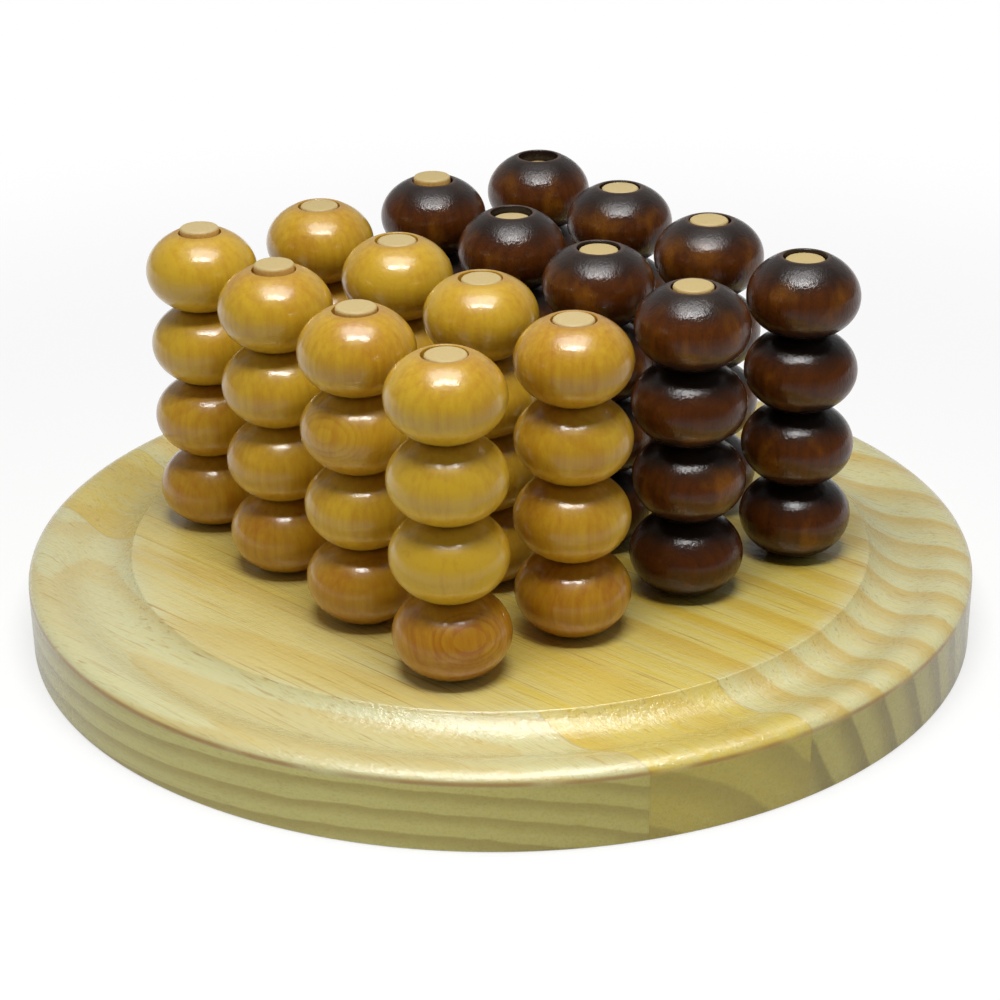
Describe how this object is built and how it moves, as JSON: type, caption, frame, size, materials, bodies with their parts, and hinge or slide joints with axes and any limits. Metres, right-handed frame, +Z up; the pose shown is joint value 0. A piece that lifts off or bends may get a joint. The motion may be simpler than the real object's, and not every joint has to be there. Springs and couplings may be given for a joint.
{
  "type": "three-dimensional tic-tac-toe game",
  "caption": "Table game with a round grooved wooden base, a square of upright pegs, and light and dark wooden beads that stack on the pegs to make lines in three dimensions.",
  "frame": {"origin": "centre of the base's underside, on the table", "axes": "+Z up along the pegs, +X from the light beads to the dark beads, +Y from the front row of pegs to the back row"},
  "size_m": [0.235, 0.235, 0.0974],
  "materials": {
    "base_pine": "clear satin lacquer on edge-glued pine",
    "light_bead_wood": "clear gloss lacquer on honey-coloured turned wood",
    "dark_bead_wood": "dark brown stain under gloss lacquer"
  },
  "bodies": {
    "base": {"peg_base": "base_pine"},
    "light_bead_a1_1": {"light_bead_a1_1": "light_bead_wood"},
    "light_bead_a1_2": {"light_bead_a1_2": "light_bead_wood"},
    "light_bead_a1_3": {"light_bead_a1_3": "light_bead_wood"},
    "light_bead_a1_4": {"light_bead_a1_4": "light_bead_wood"},
    "light_bead_a2_1": {"light_bead_a2_1": "light_bead_wood"},
    "light_bead_a2_2": {"light_bead_a2_2": "light_bead_wood"},
    "light_bead_a2_3": {"light_bead_a2_3": "light_bead_wood"},
    "light_bead_a2_4": {"light_bead_a2_4": "light_bead_wood"},
    "light_bead_a3_1": {"light_bead_a3_1": "light_bead_wood"},
    "light_bead_a3_2": {"light_bead_a3_2": "light_bead_wood"},
    "light_bead_a3_3": {"light_bead_a3_3": "light_bead_wood"},
    "light_bead_a3_4": {"light_bead_a3_4": "light_bead_wood"},
    "light_bead_a4_1": {"light_bead_a4_1": "light_bead_wood"},
    "light_bead_a4_2": {"light_bead_a4_2": "light_bead_wood"},
    "light_bead_a4_3": {"light_bead_a4_3": "light_bead_wood"},
    "light_bead_a4_4": {"light_bead_a4_4": "light_bead_wood"},
    "light_bead_b1_1": {"light_bead_b1_1": "light_bead_wood"},
    "light_bead_b1_2": {"light_bead_b1_2": "light_bead_wood"},
    "light_bead_b1_3": {"light_bead_b1_3": "light_bead_wood"},
    "light_bead_b1_4": {"light_bead_b1_4": "light_bead_wood"},
    "light_bead_pair_b2": {"light_bead_pair_b2": "light_bead_wood"},
    "light_bead_b2_3": {"light_bead_b2_3": "light_bead_wood"},
    "light_bead_b2_4": {"light_bead_b2_4": "light_bead_wood"},
    "light_bead_pair_b3": {"light_bead_pair_b3": "light_bead_wood"},
    "light_bead_b3_3": {"light_bead_b3_3": "light_bead_wood"},
    "light_bead_b3_4": {"light_bead_b3_4": "light_bead_wood"},
    "light_bead_b4_1": {"light_bead_b4_1": "light_bead_wood"},
    "light_bead_b4_2": {"light_bead_b4_2": "light_bead_wood"},
    "light_bead_b4_3": {"light_bead_b4_3": "light_bead_wood"},
    "light_bead_b4_4": {"light_bead_b4_4": "light_bead_wood"},
    "dark_bead_c1_1": {"dark_bead_c1_1": "dark_bead_wood"},
    "dark_bead_c1_2": {"dark_bead_c1_2": "dark_bead_wood"},
    "dark_bead_c1_3": {"dark_bead_c1_3": "dark_bead_wood"},
    "dark_bead_c1_4": {"dark_bead_c1_4": "dark_bead_wood"},
    "dark_bead_pair_c2": {"dark_bead_pair_c2": "dark_bead_wood"},
    "dark_bead_c2_3": {"dark_bead_c2_3": "dark_bead_wood"},
    "dark_bead_c2_4": {"dark_bead_c2_4": "dark_bead_wood"},
    "dark_bead_pair_c3": {"dark_bead_pair_c3": "dark_bead_wood"},
    "dark_bead_c3_3": {"dark_bead_c3_3": "dark_bead_wood"},
    "dark_bead_c3_4": {"dark_bead_c3_4": "dark_bead_wood"},
    "dark_bead_c4_1": {"dark_bead_c4_1": "dark_bead_wood"},
    "dark_bead_c4_2": {"dark_bead_c4_2": "dark_bead_wood"},
    "dark_bead_c4_3": {"dark_bead_c4_3": "dark_bead_wood"},
    "dark_bead_c4_4": {"dark_bead_c4_4": "dark_bead_wood"},
    "dark_bead_d1_1": {"dark_bead_d1_1": "dark_bead_wood"},
    "dark_bead_d1_2": {"dark_bead_d1_2": "dark_bead_wood"},
    "dark_bead_d1_3": {"dark_bead_d1_3": "dark_bead_wood"},
    "dark_bead_d1_4": {"dark_bead_d1_4": "dark_bead_wood"},
    "dark_bead_d2_1": {"dark_bead_d2_1": "dark_bead_wood"},
    "dark_bead_d2_2": {"dark_bead_d2_2": "dark_bead_wood"},
    "dark_bead_d2_3": {"dark_bead_d2_3": "dark_bead_wood"},
    "dark_bead_d2_4": {"dark_bead_d2_4": "dark_bead_wood"},
    "dark_bead_d3_1": {"dark_bead_d3_1": "dark_bead_wood"},
    "dark_bead_d3_2": {"dark_bead_d3_2": "dark_bead_wood"},
    "dark_bead_d3_3": {"dark_bead_d3_3": "dark_bead_wood"},
    "dark_bead_d3_4": {"dark_bead_d3_4": "dark_bead_wood"},
    "dark_bead_pair_d4": {"dark_bead_pair_d4": "dark_bead_wood"},
    "dark_bead_d4_3": {"dark_bead_d4_3": "dark_bead_wood"},
    "dark_bead_d4_4": {"dark_bead_d4_4": "dark_bead_wood"}
  },
  "joints": [
    {"name": "lift_a1_1", "type": "slide", "parent": "base", "child": "light_bead_a1_1", "axis": [0, 0, 1], "range_m": [0, 0.078]},
    {"name": "lift_a1_2", "type": "slide", "parent": "light_bead_a1_1", "child": "light_bead_a1_2", "axis": [0, 0, 1], "range_m": [0, 0.059]},
    {"name": "lift_a1_3", "type": "slide", "parent": "light_bead_a1_2", "child": "light_bead_a1_3", "axis": [0, 0, 1], "range_m": [0, 0.04]},
    {"name": "lift_a1_4", "type": "slide", "parent": "light_bead_a1_3", "child": "light_bead_a1_4", "axis": [0, 0, 1], "range_m": [0, 0.021]},
    {"name": "lift_a2_1", "type": "slide", "parent": "base", "child": "light_bead_a2_1", "axis": [0, 0, 1], "range_m": [0, 0.0788]},
    {"name": "lift_a2_2", "type": "slide", "parent": "light_bead_a2_1", "child": "light_bead_a2_2", "axis": [0, 0, 1], "range_m": [0, 0.0598]},
    {"name": "lift_a2_3", "type": "slide", "parent": "light_bead_a2_2", "child": "light_bead_a2_3", "axis": [0, 0, 1], "range_m": [0, 0.0408]},
    {"name": "lift_a2_4", "type": "slide", "parent": "light_bead_a2_3", "child": "light_bead_a2_4", "axis": [0, 0, 1], "range_m": [0, 0.0218]},
    {"name": "lift_a3_1", "type": "slide", "parent": "base", "child": "light_bead_a3_1", "axis": [0, 0, 1], "range_m": [0, 0.0794]},
    {"name": "lift_a3_2", "type": "slide", "parent": "light_bead_a3_1", "child": "light_bead_a3_2", "axis": [0, 0, 1], "range_m": [0, 0.0604]},
    {"name": "lift_a3_3", "type": "slide", "parent": "light_bead_a3_2", "child": "light_bead_a3_3", "axis": [0, 0, 1], "range_m": [0, 0.0414]},
    {"name": "lift_a3_4", "type": "slide", "parent": "light_bead_a3_3", "child": "light_bead_a3_4", "axis": [0, 0, 1], "range_m": [0, 0.0224]},
    {"name": "lift_a4_1", "type": "slide", "parent": "base", "child": "light_bead_a4_1", "axis": [0, 0, 1], "range_m": [0, 0.0793]},
    {"name": "lift_a4_2", "type": "slide", "parent": "light_bead_a4_1", "child": "light_bead_a4_2", "axis": [0, 0, 1], "range_m": [0, 0.0603]},
    {"name": "lift_a4_3", "type": "slide", "parent": "light_bead_a4_2", "child": "light_bead_a4_3", "axis": [0, 0, 1], "range_m": [0, 0.0413]},
    {"name": "lift_a4_4", "type": "slide", "parent": "light_bead_a4_3", "child": "light_bead_a4_4", "axis": [0, 0, 1], "range_m": [0, 0.0223]},
    {"name": "lift_b1_1", "type": "slide", "parent": "base", "child": "light_bead_b1_1", "axis": [0, 0, 1], "range_m": [0, 0.0781]},
    {"name": "lift_b1_2", "type": "slide", "parent": "light_bead_b1_1", "child": "light_bead_b1_2", "axis": [0, 0, 1], "range_m": [0, 0.0591]},
    {"name": "lift_b1_3", "type": "slide", "parent": "light_bead_b1_2", "child": "light_bead_b1_3", "axis": [0, 0, 1], "range_m": [0, 0.0401]},
    {"name": "lift_b1_4", "type": "slide", "parent": "light_bead_b1_3", "child": "light_bead_b1_4", "axis": [0, 0, 1], "range_m": [0, 0.0211]},
    {"name": "lift_pair_b2", "type": "slide", "parent": "base", "child": "light_bead_pair_b2", "axis": [0, 0, 1], "range_m": [0, 0.0779]},
    {"name": "lift_b2_3", "type": "slide", "parent": "light_bead_pair_b2", "child": "light_bead_b2_3", "axis": [0, 0, 1], "range_m": [0, 0.0399]},
    {"name": "lift_b2_4", "type": "slide", "parent": "light_bead_b2_3", "child": "light_bead_b2_4", "axis": [0, 0, 1], "range_m": [0, 0.0209]},
    {"name": "lift_pair_b3", "type": "slide", "parent": "base", "child": "light_bead_pair_b3", "axis": [0, 0, 1], "range_m": [0, 0.078]},
    {"name": "lift_b3_3", "type": "slide", "parent": "light_bead_pair_b3", "child": "light_bead_b3_3", "axis": [0, 0, 1], "range_m": [0, 0.04]},
    {"name": "lift_b3_4", "type": "slide", "parent": "light_bead_b3_3", "child": "light_bead_b3_4", "axis": [0, 0, 1], "range_m": [0, 0.021]},
    {"name": "lift_b4_1", "type": "slide", "parent": "base", "child": "light_bead_b4_1", "axis": [0, 0, 1], "range_m": [0, 0.0781]},
    {"name": "lift_b4_2", "type": "slide", "parent": "light_bead_b4_1", "child": "light_bead_b4_2", "axis": [0, 0, 1], "range_m": [0, 0.0591]},
    {"name": "lift_b4_3", "type": "slide", "parent": "light_bead_b4_2", "child": "light_bead_b4_3", "axis": [0, 0, 1], "range_m": [0, 0.0401]},
    {"name": "lift_b4_4", "type": "slide", "parent": "light_bead_b4_3", "child": "light_bead_b4_4", "axis": [0, 0, 1], "range_m": [0, 0.0211]},
    {"name": "lift_c1_1", "type": "slide", "parent": "base", "child": "dark_bead_c1_1", "axis": [0, 0, 1], "range_m": [0, 0.0784]},
    {"name": "lift_c1_2", "type": "slide", "parent": "dark_bead_c1_1", "child": "dark_bead_c1_2", "axis": [0, 0, 1], "range_m": [0, 0.0594]},
    {"name": "lift_c1_3", "type": "slide", "parent": "dark_bead_c1_2", "child": "dark_bead_c1_3", "axis": [0, 0, 1], "range_m": [0, 0.0404]},
    {"name": "lift_c1_4", "type": "slide", "parent": "dark_bead_c1_3", "child": "dark_bead_c1_4", "axis": [0, 0, 1], "range_m": [0, 0.0214]},
    {"name": "lift_pair_c2", "type": "slide", "parent": "base", "child": "dark_bead_pair_c2", "axis": [0, 0, 1], "range_m": [0, 0.0776]},
    {"name": "lift_c2_3", "type": "slide", "parent": "dark_bead_pair_c2", "child": "dark_bead_c2_3", "axis": [0, 0, 1], "range_m": [0, 0.0396]},
    {"name": "lift_c2_4", "type": "slide", "parent": "dark_bead_c2_3", "child": "dark_bead_c2_4", "axis": [0, 0, 1], "range_m": [0, 0.0206]},
    {"name": "lift_pair_c3", "type": "slide", "parent": "base", "child": "dark_bead_pair_c3", "axis": [0, 0, 1], "range_m": [0, 0.0765]},
    {"name": "lift_c3_3", "type": "slide", "parent": "dark_bead_pair_c3", "child": "dark_bead_c3_3", "axis": [0, 0, 1], "range_m": [0, 0.0385]},
    {"name": "lift_c3_4", "type": "slide", "parent": "dark_bead_c3_3", "child": "dark_bead_c3_4", "axis": [0, 0, 1], "range_m": [0, 0.0195]},
    {"name": "lift_c4_1", "type": "slide", "parent": "base", "child": "dark_bead_c4_1", "axis": [0, 0, 1], "range_m": [0, 0.0791]},
    {"name": "lift_c4_2", "type": "slide", "parent": "dark_bead_c4_1", "child": "dark_bead_c4_2", "axis": [0, 0, 1], "range_m": [0, 0.0601]},
    {"name": "lift_c4_3", "type": "slide", "parent": "dark_bead_c4_2", "child": "dark_bead_c4_3", "axis": [0, 0, 1], "range_m": [0, 0.0411]},
    {"name": "lift_c4_4", "type": "slide", "parent": "dark_bead_c4_3", "child": "dark_bead_c4_4", "axis": [0, 0, 1], "range_m": [0, 0.0221]},
    {"name": "lift_d1_1", "type": "slide", "parent": "base", "child": "dark_bead_d1_1", "axis": [0, 0, 1], "range_m": [0, 0.0773]},
    {"name": "lift_d1_2", "type": "slide", "parent": "dark_bead_d1_1", "child": "dark_bead_d1_2", "axis": [0, 0, 1], "range_m": [0, 0.0583]},
    {"name": "lift_d1_3", "type": "slide", "parent": "dark_bead_d1_2", "child": "dark_bead_d1_3", "axis": [0, 0, 1], "range_m": [0, 0.0393]},
    {"name": "lift_d1_4", "type": "slide", "parent": "dark_bead_d1_3", "child": "dark_bead_d1_4", "axis": [0, 0, 1], "range_m": [0, 0.0203]},
    {"name": "lift_d2_1", "type": "slide", "parent": "base", "child": "dark_bead_d2_1", "axis": [0, 0, 1], "range_m": [0, 0.0782]},
    {"name": "lift_d2_2", "type": "slide", "parent": "dark_bead_d2_1", "child": "dark_bead_d2_2", "axis": [0, 0, 1], "range_m": [0, 0.0592]},
    {"name": "lift_d2_3", "type": "slide", "parent": "dark_bead_d2_2", "child": "dark_bead_d2_3", "axis": [0, 0, 1], "range_m": [0, 0.0402]},
    {"name": "lift_d2_4", "type": "slide", "parent": "dark_bead_d2_3", "child": "dark_bead_d2_4", "axis": [0, 0, 1], "range_m": [0, 0.0212]},
    {"name": "lift_d3_1", "type": "slide", "parent": "base", "child": "dark_bead_d3_1", "axis": [0, 0, 1], "range_m": [0, 0.0778]},
    {"name": "lift_d3_2", "type": "slide", "parent": "dark_bead_d3_1", "child": "dark_bead_d3_2", "axis": [0, 0, 1], "range_m": [0, 0.0588]},
    {"name": "lift_d3_3", "type": "slide", "parent": "dark_bead_d3_2", "child": "dark_bead_d3_3", "axis": [0, 0, 1], "range_m": [0, 0.0398]},
    {"name": "lift_d3_4", "type": "slide", "parent": "dark_bead_d3_3", "child": "dark_bead_d3_4", "axis": [0, 0, 1], "range_m": [0, 0.0208]},
    {"name": "lift_pair_d4", "type": "slide", "parent": "base", "child": "dark_bead_pair_d4", "axis": [0, 0, 1], "range_m": [0, 0.0754]},
    {"name": "lift_d4_3", "type": "slide", "parent": "dark_bead_pair_d4", "child": "dark_bead_d4_3", "axis": [0, 0, 1], "range_m": [0, 0.0374]},
    {"name": "lift_d4_4", "type": "slide", "parent": "dark_bead_d4_3", "child": "dark_bead_d4_4", "axis": [0, 0, 1], "range_m": [0, 0.0184]}
  ]
}
